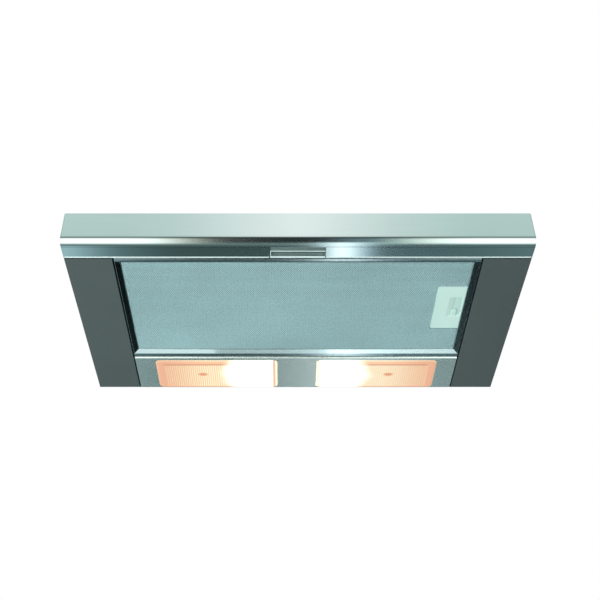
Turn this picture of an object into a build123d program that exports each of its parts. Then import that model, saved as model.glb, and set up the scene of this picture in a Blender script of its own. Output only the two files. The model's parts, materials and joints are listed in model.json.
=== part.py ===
"""Telescopic under-cabinet range hood, 60 cm wide, shown with its drawer pushed in.

Millimetres. X runs to the right, Y to the back and Z up. The origin is the middle of the
mounting face, which is the top of the slim lower body that screws to the cabinet floor.
"""
from build123d import *
from math import cos, pi, sin
import os

# ---- driving dimensions -------------------------------------------------------------
WIDTH = 598.0          # over the fascia
DEPTH = 333.0          # fascia face to rear edge
SLIM_H = 49.0          # slim lower body, mounting face to underside
SHEET = 1.0            # steel sheet
PANEL_W = 61.0         # dark side panel, each side
HOUSING_W = 490.0      # upper motor housing
HOUSING_H = 135.0      # its height above the mounting face
DUCT_R = 59.5          # outside radius of the outlet spigot
DUCT_H = 40.0

# ---- planes and lines worked out from them ------------------------------------------
HALF = WIDTH / 2
FRONT = -DEPTH / 2
REAR = DEPTH / 2
UNDER = -SLIM_H
SKIN = UNDER + SHEET                # inner face of the bottom sheets
INNER = HALF - PANEL_W              # inner edge of a side panel
DRAWER_HALF = INNER - 2.0           # half width of the drawer frame
LIP_REAR = FRONT + 31.5             # rear edge of the fascia's lip
BODY_FRONT = LIP_REAR + 1.5         # front edge of the fixed body
DRAWER_TOP = -25.0
FRAME_FRONT = LIP_REAR + 1.4
RIM_FRONT = FRONT + 37.8            # rear edge of the frame's flat front rim
RIM_REAR = FRONT + 243.5            # front edge of the frame's flat rear rim
FRAME_REAR = FRONT + 250.1
WINDOW_HALF = 229.0                 # filter window in the drawer frame
WINDOW_FRONT = FRONT + 42.0
WINDOW_REAR = FRONT + 237.0
WINDOW_Z = UNDER + 3.0
FILTER_GAP = 0.8
FILTER_H = 9.0
LAMP_FRONT = FRONT + 251.3          # front edge of the lamp panel
LAMP_Y = FRONT + 296.0              # middle line of the lamps
LENS_L = 179.6
LENS_W = 70.0
LENS_X = 118.2                      # middle of each lens, from the centre line
LENS_T = 1.2
FAN_Y = 40.0                        # impeller axis
FAN_Z = 66.0
FAN_R = 55.0
FAN_HALF = 55.0                     # half length of the double impeller
SCROLL_HALF = 60.0
DUCT_Y = 80.0
SLOPE_FRONT = FRONT + 60.0          # foot of the housing's front
SLOPE_Z = 50.0
SLOPE_TOP = FRONT + 150.0
HOUSING_REAR = REAR - 6.5
SIDES = (("left", -1), ("right", 1))


# ---- helpers ------------------------------------------------------------------------
def block(x0, x1, y0, y1, z0, z1, mode=Mode.ADD):
    """A box given by its limits, added to or cut from the current part."""
    with Locations(((x0 + x1) / 2, (y0 + y1) / 2, (z0 + z1) / 2)):
        Box(abs(x1 - x0), abs(y1 - y0), abs(z1 - z0), mode=mode)


def rod(centre, radius, length, axis, mode=Mode.ADD):
    """A cylinder about its centre, along X, Y or Z."""
    turn = {"x": (0, 90, 0), "y": (90, 0, 0), "z": (0, 0, 0)}[axis]
    with Locations(centre):
        Cylinder(radius, length, rotation=turn, mode=mode)


def bent_sheet(points, radii, half_width):
    """A sheet bent along a Y-Z path, its thickness to the left of the path."""
    with BuildSketch(Plane.YZ) as profile:
        with BuildLine():
            FilletPolyline(*points, radius=radii)
            offset(amount=SHEET, side=Side.LEFT, closed=True)
        make_face()
    extrude(profile.sketch, amount=half_width, both=True)


def frustum(low, low_z, high, high_z, mode=Mode.ADD):
    """A ruled solid between two rectangles, each (half width, front y, rear y)."""
    ends = []
    for (half, y0, y1), z in ((low, low_z), (high, high_z)):
        with BuildSketch(Plane.XY.offset(z)) as end:
            with Locations((0, (y0 + y1) / 2)):
                Rectangle(2 * half, y1 - y0)
        ends.append(end.sketch)
    loft(ends, ruled=True, mode=mode)


def save(piece, name):
    piece.part.label = name
    export_step(piece.part, f"parts/{name}.step")


# ---- fixed slim body ----------------------------------------------------------------
SCREW_X = 272.0                     # cabinet screws, from the origin
SCREW_Y = 130.0
SCREW_R = 2.6
AIR = (-216.0, 216.0, -91.0, 79.0)  # air opening over the inner filter


def chassis():
    """Top plate with the air opening and the rear wall folded down from it."""
    with BuildPart() as plate:
        block(-HALF, HALF, BODY_FRONT, REAR, -SHEET, 0)
        block(*AIR, -SHEET, 0, Mode.SUBTRACT)
        block(-HALF, HALF, REAR - SHEET, REAR, UNDER, -SHEET)
        with Locations((0, 0, 0)):
            with GridLocations(2 * SCREW_X, 2 * SCREW_Y, 2, 2):
                Hole(SCREW_R)
    save(plate, "chassis_plate")


WEB_X = INNER + 11.0                # web that carries the slide
HEM = 6.0                           # height of the folded edges


def side_panel(name, side):
    """Dark channel: visible bottom, outer wall, inner hem and the slide's web."""
    y1 = REAR - SHEET
    with BuildPart() as panel:
        block(side * INNER, side * HALF, BODY_FRONT, y1, UNDER, SKIN)
        block(side * (HALF - SHEET), side * HALF, BODY_FRONT, y1, SKIN, -SHEET)
        block(side * INNER, side * (INNER + SHEET), BODY_FRONT, y1, SKIN, UNDER + HEM)
        block(side * WEB_X, side * (WEB_X + SHEET), BODY_FRONT, y1, SKIN, -SHEET)
        block(side * (WEB_X + SHEET), side * (HALF - SHEET), BODY_FRONT, BODY_FRONT + SHEET,
              SKIN, -SHEET)
    save(panel, f"side_panel_{name}")


LENS_OPEN = 2.5                     # lens flange overlap on the lamp panel
APRON = 13.0                        # height of the panel's folded front edge


def lamp_panel():
    """Bottom sheet behind the drawer, with an opening for each lamp."""
    with BuildPart() as panel:
        block(-DRAWER_HALF, DRAWER_HALF, LAMP_FRONT, REAR - SHEET, UNDER, SKIN)
        block(-DRAWER_HALF, DRAWER_HALF, LAMP_FRONT, LAMP_FRONT + SHEET, SKIN, UNDER + APRON)
        for _, side in SIDES:
            block(side * LENS_X - LENS_L / 2 + LENS_OPEN, side * LENS_X + LENS_L / 2 - LENS_OPEN,
                  LAMP_Y - LENS_W / 2 + LENS_OPEN, LAMP_Y + LENS_W / 2 - LENS_OPEN,
                  UNDER, SKIN, Mode.SUBTRACT)
    save(panel, "lamp_panel")


# ---- lamps --------------------------------------------------------------------------
BOX_HALF_L = 90.5
BOX_HALF_W = 35.2
BOX_TOP = -6.0
BULB_Z = -26.5
BULB_R = 16.0
BULB_TIP = 37.0                     # tip of each bulb, from the centre line
BULB_L = 77.0                       # glass length
CAP_R = 6.8
HOLDER_R = 12.0


def lamp(name, side):
    """Reflector box over the opening, and the cover below it with its snap-in wall."""
    x_in = side * LENS_X - side * BOX_HALF_L
    x_out = side * LENS_X + side * BOX_HALF_L
    with BuildPart() as box:
        block(x_in, x_out, LAMP_Y - BOX_HALF_W, LAMP_Y + BOX_HALF_W, SKIN, BOX_TOP)
        block(x_in + side * SHEET, x_out - side * SHEET, LAMP_Y - BOX_HALF_W + SHEET,
              LAMP_Y + BOX_HALF_W - SHEET, SKIN, BOX_TOP - SHEET, Mode.SUBTRACT)
    save(box, f"lamp_box_{name}")

    with BuildPart() as lens:
        with BuildSketch(Plane.XY.offset(UNDER - LENS_T)):
            with Locations((side * LENS_X, LAMP_Y)):
                RectangleRounded(LENS_L, LENS_W, 6)
        extrude(amount=LENS_T)
        with BuildSketch(Plane.XY.offset(UNDER)):
            with Locations((side * LENS_X, LAMP_Y)):
                RectangleRounded(LENS_L - 8, LENS_W - 8, 4)
                RectangleRounded(LENS_L - 11, LENS_W - 11, 3, mode=Mode.SUBTRACT)
        extrude(amount=3.5)
    save(lens, f"lens_{name}")


def bulbs():
    """Two candle bulbs lying along X, caps outwards, in their lampholders."""
    with BuildPart() as glasses:
        for _, side in SIDES:
            tip = side * BULB_TIP
            neck = tip + side * BULB_L
            with BuildSketch(Plane.XZ.offset(-LAMP_Y)):
                with BuildLine():
                    Polyline((tip, BULB_Z), (neck, BULB_Z), (neck, BULB_Z + 6.5))
                    Spline((neck, BULB_Z + 6.5), (tip + side * 45, BULB_Z + BULB_R),
                           (tip + side * 18, BULB_Z + 11.5), (tip, BULB_Z),
                           tangents=[(-side, 0), (0, -1)])
                make_face()
            revolve(axis=Axis((0, LAMP_Y, BULB_Z), (1, 0, 0)))
    save(glasses, "bulb_glasses")
    with BuildPart() as caps:
        for _, side in SIDES:
            rod((side * 125, LAMP_Y, BULB_Z), CAP_R, 22, "x")
            rod((side * 138, LAMP_Y, BULB_Z), 3.5, 4, "x")
    save(caps, "bulb_caps")
    with BuildPart() as holders:
        for _, side in SIDES:
            rod((side * 139.5, LAMP_Y, BULB_Z), HOLDER_R, 37, "x")
            rod((side * 130.5, LAMP_Y, BULB_Z), CAP_R + 0.2, 19, "x", Mode.SUBTRACT)
            block(side * 158, side * 161, LAMP_Y - HOLDER_R - 1, LAMP_Y + HOLDER_R + 1,
                  BULB_Z - HOLDER_R - 1, BOX_TOP - SHEET)
    save(holders, "lampholders")


# ---- upper housing and blower -------------------------------------------------------
HOUSING_PROFILE = (
    (HOUSING_REAR, 0), (HOUSING_REAR, HOUSING_H), (SLOPE_TOP, HOUSING_H),
    (SLOPE_FRONT, SLOPE_Z), (SLOPE_FRONT, 0),
)
GLAND_AT = (-190.0, 125.0)
GLAND_R = 6.0                       # threaded part of the gland
COLLAR_HOLE = 57.8
FOOT_W = 16.0                       # feet along the end plates
FOOT = (-60.0, 140.0)               # their front and rear ends
FOOT_T = 1.5


def housing():
    """Rear, top and bent front sheets of the housing, closed by two end plates."""
    half = HOUSING_W / 2
    with BuildPart() as rear:
        block(-half, half, HOUSING_REAR - SHEET, HOUSING_REAR, 0, HOUSING_H - SHEET)
    save(rear, "housing_rear")
    with BuildPart() as top:
        block(-half, half, SLOPE_TOP, HOUSING_REAR, HOUSING_H - SHEET, HOUSING_H)
        rod((0, DUCT_Y, HOUSING_H), COLLAR_HOLE, 4, "z", Mode.SUBTRACT)
        rod((*GLAND_AT, HOUSING_H), GLAND_R + 0.2, 4, "z", Mode.SUBTRACT)
    save(top, "housing_top")
    with BuildPart() as front:
        bent_sheet(((SLOPE_TOP, HOUSING_H), (SLOPE_FRONT, SLOPE_Z), (SLOPE_FRONT, 0)), [2.0], half)
        block(-half, half, SLOPE_TOP, SLOPE_TOP + 5, HOUSING_H - 5, HOUSING_H, Mode.SUBTRACT)
    save(front, "housing_front")
    for name, side in SIDES:
        with BuildPart() as end:
            with BuildSketch(Plane.YZ.offset(side * half)):
                with BuildLine():
                    Polyline(*HOUSING_PROFILE, close=True)
                make_face()
            extrude(amount=side * SHEET)
            block(side * (half + SHEET), side * (half + FOOT_W), *FOOT, 0, FOOT_T)
        save(end, f"housing_end_{name}")


FLANGE = 72.0                       # half width of the spigot's square flange
FLANGE_T = 3.0
PIN_R = 1.5
PIN_Z = HOUSING_H + 14.0


def outlet():
    """Plastic spigot on a square flange, with the damper pin across it."""
    with BuildPart() as collar:
        block(-FLANGE, FLANGE, DUCT_Y - FLANGE, DUCT_Y + FLANGE, HOUSING_H,
              HOUSING_H + FLANGE_T)
        rod((0, DUCT_Y, HOUSING_H + DUCT_H / 2), DUCT_R, DUCT_H, "z")
        rod((0, DUCT_Y, HOUSING_H + DUCT_H / 2), DUCT_R - 1.5, DUCT_H + 2, "z", Mode.SUBTRACT)
        rod((0, DUCT_Y, PIN_Z), PIN_R + 0.05, 130, "x", Mode.SUBTRACT)
    save(collar, "outlet_collar")
    with BuildPart() as pin:
        rod((0, DUCT_Y, PIN_Z), PIN_R, 2 * DUCT_R, "x")
    save(pin, "damper_pin")


FLAP_R = 57.0
FLAP_T = 1.2
FLAP_START = 3.6                    # straight edge of a flap, from the pin's axis
KNUCKLE_R = 2.8
KNUCKLE_L = 10.0


def flap(name, side):
    """Half-disc damper flap with two knuckles round the pin."""
    with BuildPart() as half_disc:
        rod((0, DUCT_Y, PIN_Z), FLAP_R, FLAP_T, "z")
        block(-70, 70, DUCT_Y + side * FLAP_START, DUCT_Y - side * 70, PIN_Z - 3, PIN_Z + 3,
              Mode.SUBTRACT)
        for pair in (-35.0, 35.0):
            x = pair + side * 8
            block(x - KNUCKLE_L / 2, x + KNUCKLE_L / 2, DUCT_Y, DUCT_Y + side * (FLAP_START + 1),
                  PIN_Z - FLAP_T / 2, PIN_Z + FLAP_T / 2)
            rod((x, DUCT_Y, PIN_Z), KNUCKLE_R, KNUCKLE_L, "x")
            rod((x, DUCT_Y, PIN_Z), PIN_R + 0.08, 12, "x", Mode.SUBTRACT)
    save(half_disc, f"damper_flap_{name}")


SCROLL_T = 1.5
SCROLL_MIN = 58.0
SCROLL_MAX = 77.0
INLET_R = 50.0


def volute(grow, top):
    """Closed outline of the scroll: outlet wall, spiral, tongue and back up to the outlet."""
    spiral = []
    for step in range(10):
        part = step / 9
        angle = -part * 1.5 * pi
        radius = SCROLL_MAX + (SCROLL_MIN - SCROLL_MAX) * part + grow
        spiral.append((FAN_Y + radius * cos(angle), FAN_Z + radius * sin(angle)))
    tongue = FAN_Y + 6.0 - grow
    with BuildLine() as outline:
        Line((spiral[0][0], top), spiral[0])
        curve = Spline(*spiral)
        Polyline(curve @ 1, (tongue, (curve @ 1).Y), (tongue, top), (spiral[0][0], top))
    return outline.line


def scroll(name, side):
    """One half of the plastic scroll with its inlet ring."""
    top = HOUSING_H - SHEET
    with BuildPart() as half_shell:
        with BuildSketch(Plane.YZ):
            make_face(volute(SCROLL_T, top).edges())
        extrude(amount=side * (SCROLL_HALF + SCROLL_T))
        with BuildSketch(Plane.YZ):
            make_face(volute(0, top + 1).edges())
        extrude(amount=side * SCROLL_HALF, mode=Mode.SUBTRACT)
        rod((side * SCROLL_HALF, FAN_Y, FAN_Z), INLET_R, 8, "x", Mode.SUBTRACT)
    save(half_shell, f"scroll_{name}")


SHAFT_R = 4.0
MOTOR_R = 38.0
SPIDER_T = 2.5
SPIDER_HUB = 30.0
SPIDER_ARM = 58.0
ARM_W = 14.0


def blower_drive():
    """Motor on a three-arm spider at the left inlet, driving a double impeller."""
    back = -(SCROLL_HALF + SCROLL_T)
    with BuildPart() as motor:
        rod((back / 2 - 8, FAN_Y, FAN_Z), MOTOR_R, 2 * (-back / 2 - 8), "x")
        rod((back + 4, FAN_Y, FAN_Z), 16, 14, "x")
        rod((back / 2, FAN_Y, FAN_Z), SHAFT_R + 0.06, 90, "x", Mode.SUBTRACT)
        rod((back - 4, FAN_Y, FAN_Z), 17, 8, "x", Mode.SUBTRACT)
    save(motor, "motor")
    with BuildPart() as spider:
        rod((back - SPIDER_T / 2, FAN_Y, FAN_Z), SPIDER_HUB, SPIDER_T, "x")
        for angle in (90, 210, 330):
            with BuildSketch(Plane.YZ.offset(back - SPIDER_T)):
                with Locations(Location((FAN_Y, FAN_Z), angle)):
                    with Locations((SPIDER_ARM / 2, 0)):
                        Rectangle(SPIDER_ARM, ARM_W)
            extrude(amount=SPIDER_T)
        rod((back - SPIDER_T / 2, FAN_Y, FAN_Z), SHAFT_R + 3, 6, "x", Mode.SUBTRACT)
    save(spider, "motor_bracket")
    with BuildPart() as grommets:
        with Locations(Plane.YZ.offset(back - SPIDER_T - 2)):
            with Locations((FAN_Y, FAN_Z)):
                with PolarLocations(SPIDER_ARM - 5, 3, start_angle=90):
                    Cylinder(5, 4)
                    Cylinder(1.8, 4, mode=Mode.SUBTRACT)
    save(grommets, "motor_grommets")
    with BuildPart() as shaft:
        rod((back / 2 + 4, FAN_Y, FAN_Z), SHAFT_R, -back - 1, "x")
    save(shaft, "fan_shaft")


BLADES = 30
BLADE_W = 9.0
BLADE_T = 1.2
BOSS_R = 9.0


def impeller():
    """Double-inlet drum: centre disc with a boss, thirty blades and two end rings."""
    with BuildPart() as drum:
        rod((0, FAN_Y, FAN_Z), FAN_R, 2, "x")
        rod((2, FAN_Y, FAN_Z), BOSS_R, 12, "x")
        for side in (-1, 1):
            rod((side * (FAN_HALF - 1), FAN_Y, FAN_Z), FAN_R, 2, "x")
            rod((side * (FAN_HALF - 1), FAN_Y, FAN_Z), FAN_R - BLADE_W, 3, "x", Mode.SUBTRACT)
        with BuildSketch(Plane.YZ.offset(-FAN_HALF)):
            with Locations((FAN_Y, FAN_Z)):
                with PolarLocations(FAN_R - 5, BLADES):
                    Rectangle(BLADE_W, BLADE_T, rotation=25)
        extrude(amount=2 * FAN_HALF)
        rod((2, FAN_Y, FAN_Z), SHAFT_R, 14, "x", Mode.SUBTRACT)
    save(drum, "impeller")


CAPACITOR = (150.0, -62.0, 16.0)    # middle
CAPACITOR_R = 15.0
TERMINAL = (-205.0, -125.0, -88.0, -43.0)
TERMINAL_H = 28.0
CABLE_R = 4.5


def inset(limits, amount):
    """Limits of a rectangle drawn in on every side."""
    x0, x1, y0, y1 = limits
    return x0 + amount, x1 - amount, y0 + amount, y1 - amount


def electrics():
    """Capacitor, terminal box with its lid, and the gland in the housing's top."""
    x, y, _ = CAPACITOR
    with BuildPart() as capacitor:
        rod(CAPACITOR, CAPACITOR_R, 62, "x")
        block(x - 10, x + 10, y - 4, y + 4, 0, 4)
    save(capacitor, "capacitor")
    with BuildPart() as base:
        block(*TERMINAL, 0, TERMINAL_H)
        block(*inset(TERMINAL, 2), 2, TERMINAL_H, Mode.SUBTRACT)
    save(base, "terminal_box")
    with BuildPart() as lid:
        block(*TERMINAL, TERMINAL_H, TERMINAL_H + 2)
        block(*inset(TERMINAL, 2.2), TERMINAL_H - 3, TERMINAL_H)
        block(*inset(TERMINAL, 4), TERMINAL_H - 3, TERMINAL_H, Mode.SUBTRACT)
    save(lid, "terminal_box_lid")
    with BuildPart() as gland:
        rod((*GLAND_AT, HOUSING_H + 4), 11, 8, "z")
        rod((*GLAND_AT, HOUSING_H - 3), GLAND_R, 8, "z")
        rod((*GLAND_AT, HOUSING_H), CABLE_R, 30, "z", Mode.SUBTRACT)
    save(gland, "cable_gland")


INNER_FILTER_Z = -16.0              # underside of the inner filter
INNER_FILTER_H = 6.0


def inner_filter():
    """Fixed grease filter under the air opening, with two clips."""
    top = INNER_FILTER_Z + INNER_FILTER_H
    with BuildPart() as frame:
        block(*inset(AIR, -8), INNER_FILTER_Z, top)
        block(*AIR, INNER_FILTER_Z, top, Mode.SUBTRACT)
    save(frame, "inner_filter_frame")
    with BuildPart() as mesh:
        block(*AIR, INNER_FILTER_Z + 1.5, top - 1.5)
    save(mesh, "inner_filter_mesh")
    with BuildPart() as clips:
        for side in (-1, 1):
            x = side * (AIR[1] + 6)
            block(x - 6, x + 6, -16, 4, top, -SHEET)
    save(clips, "inner_filter_clips")


# ---- controls -----------------------------------------------------------------------
STRIP_Y = BODY_FRONT + 1.5          # back of the control strip
ROCKER_X = -60.0
ROCKER_Z = -12.5
ROCKER_R = 9.0
SLOT_X = 60.0
PLUNGER_X = 220.0                   # switch worked by the closed drawer
PLUNGER_Z = -31.5


def controls():
    """Strip behind the fascia with a light rocker and a three-step speed slide."""
    with BuildPart() as strip:
        block(-228, 228, BODY_FRONT, STRIP_Y, -24, -SHEET)
        block(ROCKER_X - 10, ROCKER_X + 10, BODY_FRONT, STRIP_Y, ROCKER_Z - 6, ROCKER_Z + 6,
              Mode.SUBTRACT)
        block(SLOT_X - 22, SLOT_X + 22, BODY_FRONT, STRIP_Y, ROCKER_Z - 2, ROCKER_Z + 2,
              Mode.SUBTRACT)
    save(strip, "control_strip")
    with BuildPart() as bodies:
        for x, half in ((ROCKER_X, 13), (SLOT_X, 26)):
            block(x - half, x + half, STRIP_Y, STRIP_Y + 16, ROCKER_Z - 7.5, ROCKER_Z + 8.5)
            block(x - half + 1.5, x + half - 1.5, STRIP_Y, STRIP_Y + 12, ROCKER_Z - 6.5,
                  ROCKER_Z + 7.5, Mode.SUBTRACT)
    save(bodies, "switch_bodies")
    with BuildPart() as rocker:
        rod((ROCKER_X, STRIP_Y + 4, ROCKER_Z), ROCKER_R, 11, "z")
        block(ROCKER_X - 12, ROCKER_X + 12, STRIP_Y + 6, STRIP_Y + 20, ROCKER_Z - 8,
              ROCKER_Z + 8, Mode.SUBTRACT)
    save(rocker, "light_rocker")
    with BuildPart() as knob:
        block(SLOT_X - 19, SLOT_X - 9, BODY_FRONT - 5, BODY_FRONT - 0.6, ROCKER_Z - 4.5,
              ROCKER_Z + 4.5)
        block(SLOT_X - 16, SLOT_X - 12, BODY_FRONT - 0.6, STRIP_Y + 8, ROCKER_Z - 1.5,
              ROCKER_Z + 1.5)
    save(knob, "speed_knob")
    with BuildPart() as switch:
        block(PLUNGER_X - 8, PLUNGER_X + 12, LAMP_FRONT + 8, LAMP_FRONT + 18, SKIN, -26)
        block(PLUNGER_X - 2.4, PLUNGER_X + 2.4, LAMP_FRONT + 8, LAMP_FRONT + 16,
              PLUNGER_Z - 1.9, PLUNGER_Z + 1.9, Mode.SUBTRACT)
    save(switch, "drawer_switch")
    with BuildPart() as plunger:
        block(PLUNGER_X - 2, PLUNGER_X + 2, FRAME_REAR + 0.5, LAMP_FRONT + 13,
              PLUNGER_Z - 1.5, PLUNGER_Z + 1.5)
    save(plunger, "drawer_switch_plunger")


# ---- drawer -------------------------------------------------------------------------
GRIP_HALF = 35.5
GRIP_FRONT = FRONT + 10.2
ROLL_R = 10.5                       # rolled bottom edge of the fascia
FOLD_R = 1.5


def fascia():
    """Front sheet: top return, flat face, rolled bottom edge, lip and rear hem."""
    with BuildPart() as sheet:
        bent_sheet(((FRONT + 16, 0), (FRONT, 0), (FRONT, UNDER), (LIP_REAR, UNDER),
                    (LIP_REAR, UNDER + HEM)), [FOLD_R, ROLL_R, FOLD_R], HALF - SHEET)
        block(-GRIP_HALF, GRIP_HALF, GRIP_FRONT, LIP_REAR + 1, UNDER - 1, UNDER + 8,
              Mode.SUBTRACT)
    save(sheet, "fascia")
    with BuildPart() as ends:
        for _, side in SIDES:
            with BuildSketch(Plane.YZ.offset(side * (HALF - SHEET))):
                with BuildLine():
                    FilletPolyline((LIP_REAR, 0), (FRONT, 0), (FRONT, UNDER),
                                   (LIP_REAR, UNDER), radius=[FOLD_R, ROLL_R])
                    Line((LIP_REAR, UNDER), (LIP_REAR, 0))
                make_face()
            extrude(amount=side * SHEET)
    save(ends, "fascia_ends")


def finger_grip():
    """Pull insert in the lip: sloped lead-in, raised rib, recess with end walls, hem."""
    rib = FRONT + 18.0
    roof = UNDER + 6.6
    lip = LIP_REAR
    outline = (
        (GRIP_FRONT, UNDER), (rib, roof - 1), (rib, UNDER), (rib + 1.2, UNDER),
        (rib + 1.2, roof - 1), (lip - 1.2, roof - 1), (lip - 1.2, UNDER), (lip, UNDER),
        (lip, roof), (GRIP_FRONT, roof),
    )
    half = GRIP_HALF - 0.3
    with BuildPart() as grip:
        with BuildSketch(Plane.YZ):
            with BuildLine():
                Polyline(*outline, close=True)
            make_face()
        extrude(amount=half, both=True)
        for _, side in SIDES:
            block(side * (half - 1.2), side * half, rib, lip, UNDER, roof)
    save(grip, "finger_grip")


def drawer_frame():
    """Pressed frame: flat front and rear rims, bevelled window, upright walls."""
    rim = (DRAWER_HALF, RIM_FRONT - 1, RIM_REAR + 1)
    rim_in = (DRAWER_HALF - 1, RIM_FRONT, RIM_REAR)
    window = (WINDOW_HALF, WINDOW_FRONT, WINDOW_REAR)
    with BuildPart() as frame:
        block(-DRAWER_HALF, DRAWER_HALF, FRAME_FRONT, FRAME_REAR, UNDER, SKIN)
        frustum(rim, SKIN, window, WINDOW_Z + SHEET)
        frustum(rim_in, UNDER, window, WINDOW_Z, Mode.SUBTRACT)
        block(-WINDOW_HALF, WINDOW_HALF, WINDOW_FRONT, WINDOW_REAR, UNDER, WINDOW_Z + 3,
              Mode.SUBTRACT)
        for _, side in SIDES:
            block(side * (DRAWER_HALF - SHEET), side * DRAWER_HALF, FRAME_FRONT, FRAME_REAR,
                  SKIN, DRAWER_TOP)
        block(-DRAWER_HALF, DRAWER_HALF, FRAME_FRONT, FRAME_FRONT + SHEET, SKIN, DRAWER_TOP - 1)
        block(-DRAWER_HALF, DRAWER_HALF, FRAME_REAR - SHEET, FRAME_REAR, SKIN, DRAWER_TOP)
    save(frame, "drawer_frame")


BRACKET_X = 170.0


def drawer_brackets():
    """Z brackets that join the fascia to the drawer frame, their screws, two buffers."""
    with BuildPart() as brackets:
        for x in (-BRACKET_X, BRACKET_X):
            block(x - 22, x + 22, FRONT + SHEET, FRAME_FRONT, -38, -36.5)
            block(x - 22, x + 22, FRONT + SHEET, FRONT + SHEET + 1.5, -36.5, -16)
            block(x - 22, x + 22, FRAME_FRONT - 1.5, FRAME_FRONT, -36.5, DRAWER_TOP - 1)
    save(brackets, "fascia_brackets")
    with BuildPart() as screws:
        for x in (-BRACKET_X - 12, -BRACKET_X + 12, BRACKET_X - 12, BRACKET_X + 12):
            rod((x, FRAME_FRONT - 3.0, -32), 3.2, 3.0, "y")
            rod((x, FRONT + SHEET + 3.0, -28), 3.2, 3.0, "y")
    save(screws, "bracket_screws")
    with BuildPart() as buffers:
        for x in (-225.0, 225.0):
            rod((x, LAMP_FRONT + 2.2, UNDER + 9), 3.0, 2.4, "y")
    save(buffers, "drawer_buffers")


RAIL_FRONT = BODY_FRONT + 3.0
RAIL_L = 280.0
RAIL_Z = -27.0
CAGE_L = 90.0


def slide(name, side):
    """Ball slide: outer rail on the side panel, cage, inner rail on the drawer."""
    y0 = RAIL_FRONT
    y1 = RAIL_FRONT + RAIL_L
    with BuildPart() as outer:
        block(side * (WEB_X - 1.2), side * WEB_X, y0, y1, RAIL_Z - 13, RAIL_Z + 13)
        for z in (RAIL_Z - 13, RAIL_Z + 11.8):
            block(side * (WEB_X - 7.5), side * (WEB_X - 1.2), y0, y1, z, z + 1.2)
    save(outer, f"outer_rail_{name}")
    with BuildPart() as inner:
        block(side * DRAWER_HALF, side * (DRAWER_HALF + 1.2), y0, y1, RAIL_Z - 8, RAIL_Z + 8)
        for z in (RAIL_Z - 8, RAIL_Z + 6.8):
            block(side * (DRAWER_HALF + 1.2), side * (WEB_X - 2.4), y0, y1, z, z + 1.2)
    save(inner, f"inner_rail_{name}")
    cage_y = y0 + RAIL_L / 2 - 40
    with BuildPart() as cage:
        for z in (RAIL_Z - 10.3, RAIL_Z + 9.5):
            block(side * (DRAWER_HALF + 4.5), side * (WEB_X - 2.5), cage_y, cage_y + CAGE_L,
                  z, z + 0.8)
        block(side * (DRAWER_HALF + 4.0), side * (DRAWER_HALF + 4.8), cage_y, cage_y + CAGE_L,
              RAIL_Z - 10.3, RAIL_Z - 8.6)
    save(cage, f"ball_cage_{name}")


# ---- grease filter ------------------------------------------------------------------
FILTER_HALF = WINDOW_HALF - FILTER_GAP
FILTER_FRONT = WINDOW_FRONT + FILTER_GAP
FILTER_REAR = WINDOW_REAR - FILTER_GAP
FILTER_TOP = WINDOW_Z + FILTER_H
LATCH_X = 187.4                     # inner edge of the latch plate
LATCH_FRONT = FRONT + 93.0
LATCH_REAR = FRONT + 186.0
WELL = (207.0, 224.4, FRONT + 117.0, FRONT + 159.6)
FACE_T = 0.6
TONGUE = (-34.0, -24.0)             # slot for the latch tongue, front and rear
TONGUE_Z = (WINDOW_Z + 1.4, WINDOW_Z + 5)


def grease_filter():
    """Cassette: folded edge frame, perforated face, core, back net and latch plate."""
    with BuildPart() as frame:
        block(-FILTER_HALF, FILTER_HALF, FILTER_FRONT, FILTER_REAR, WINDOW_Z, FILTER_TOP)
        block(-FILTER_HALF + 1, FILTER_HALF - 1, FILTER_FRONT + 1, FILTER_REAR - 1,
              WINDOW_Z, FILTER_TOP, Mode.SUBTRACT)
        block(LATCH_X + 3, FILTER_HALF, *TONGUE, *TONGUE_Z, Mode.SUBTRACT)
        for y in (-70.0, 30.0):
            block(-FILTER_HALF - 5, -FILTER_HALF, y - 8, y + 8, WINDOW_Z + 2, WINDOW_Z + 3)
    save(frame, "filter_frame")
    inner = (-FILTER_HALF + 1, FILTER_HALF - 1, FILTER_FRONT + 1, FILTER_REAR - 1)
    layers = (("filter_face", WINDOW_Z, WINDOW_Z + FACE_T),
              ("filter_core", WINDOW_Z + FACE_T, FILTER_TOP - 1),
              ("filter_back", FILTER_TOP - 1, FILTER_TOP))
    for name, z0, z1 in layers:
        with BuildPart() as layer:
            block(*inner, z0, z1)
            block(LATCH_X, FILTER_HALF, LATCH_FRONT, LATCH_REAR, z0, z1, Mode.SUBTRACT)
        save(layer, name)
    with BuildPart() as plate:
        block(LATCH_X, FILTER_HALF - 1, LATCH_FRONT, LATCH_REAR, WINDOW_Z, FILTER_TOP)
        block(*WELL, WINDOW_Z, WINDOW_Z + 5.5, Mode.SUBTRACT)
        block(WELL[1], FILTER_HALF, *TONGUE, *TONGUE_Z, Mode.SUBTRACT)
    save(plate, "latch_plate")
    with BuildPart() as slider:
        thumb = WELL[3] - 15
        low = TONGUE_Z[0] + 0.6
        high = TONGUE_Z[1] - 0.4
        block(213, 220, thumb, WELL[3] - 1, WINDOW_Z + 0.6, high)
        block(213, 220, TONGUE[0] + 0.4, thumb, low, high)
        block(220, FILTER_HALF + 0.3, TONGUE[0] + 0.4, TONGUE[1] - 0.4, low, high)
    save(slider, "latch_slider")


# ---- fasteners ----------------------------------------------------------------------
def fasteners():
    """Screw heads on the outlet flange and the housing feet."""
    with BuildPart() as screws:
        with Locations((0, DUCT_Y, HOUSING_H + 4)):
            with GridLocations(130, 130, 2, 2):
                Cylinder(3.4, 2)
        for _, side in SIDES:
            for y in (-40.0, 40.0, 120.0):
                rod((side * (HOUSING_W / 2 + 9), y, 2.5), 3.4, 2, "z")
    save(screws, "housing_screws")


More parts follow.
